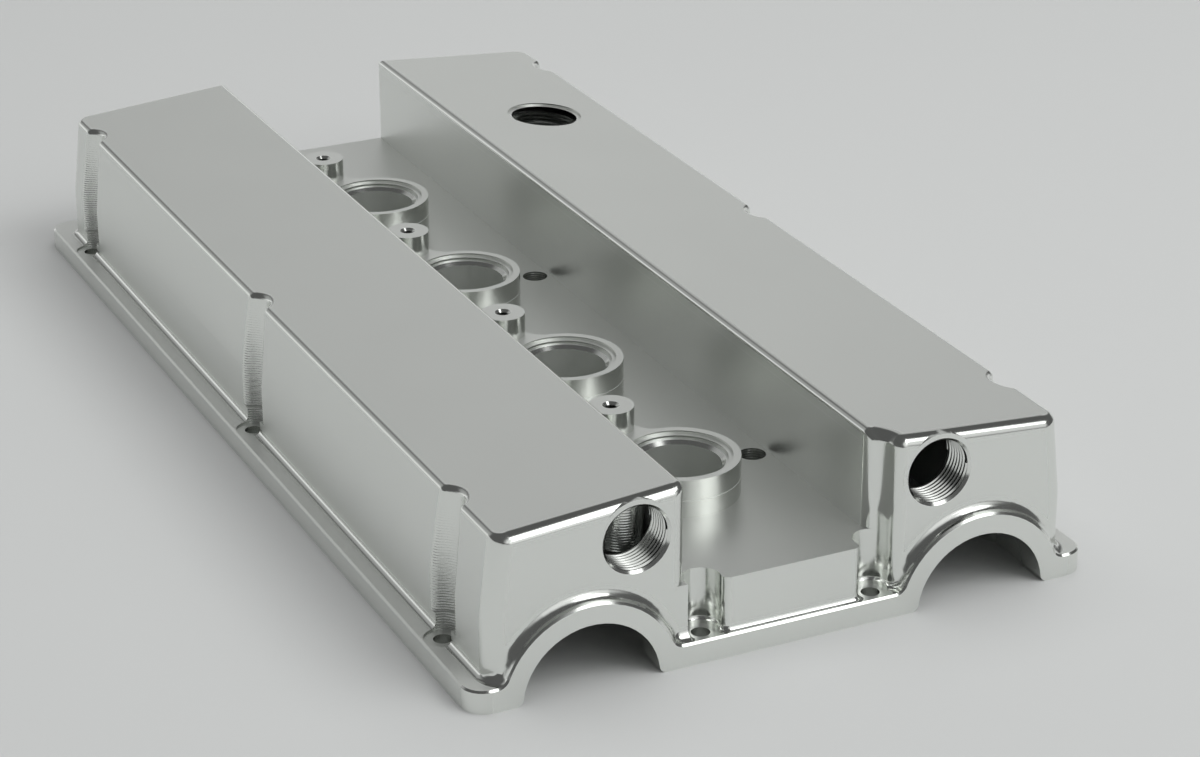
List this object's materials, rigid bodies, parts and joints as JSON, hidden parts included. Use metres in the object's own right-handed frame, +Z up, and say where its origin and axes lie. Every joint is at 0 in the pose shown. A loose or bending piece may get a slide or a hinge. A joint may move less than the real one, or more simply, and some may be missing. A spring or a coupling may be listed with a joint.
{
  "type": "engine valve cover",
  "caption": "Machined aluminium twin-cam valve cover: two sloping banks with half-round cam openings, stepped plug tubes and coil posts in the valley between, filler hole and front ports",
  "frame": {"origin": "middle of the flange outline on the gasket plane", "axes": "+X across the engine toward the bank with the oil filler, +Y along the engine away from the end with the half-round cam openings, +Z up from the gasket plane"},
  "size_m": [0.238, 0.466, 0.0658],
  "materials": {
    "aluminium": "satin machined, with polished fillets"
  },
  "bodies": {
    "root": {"valve_cover": "aluminium"}
  },
  "joints": []
}
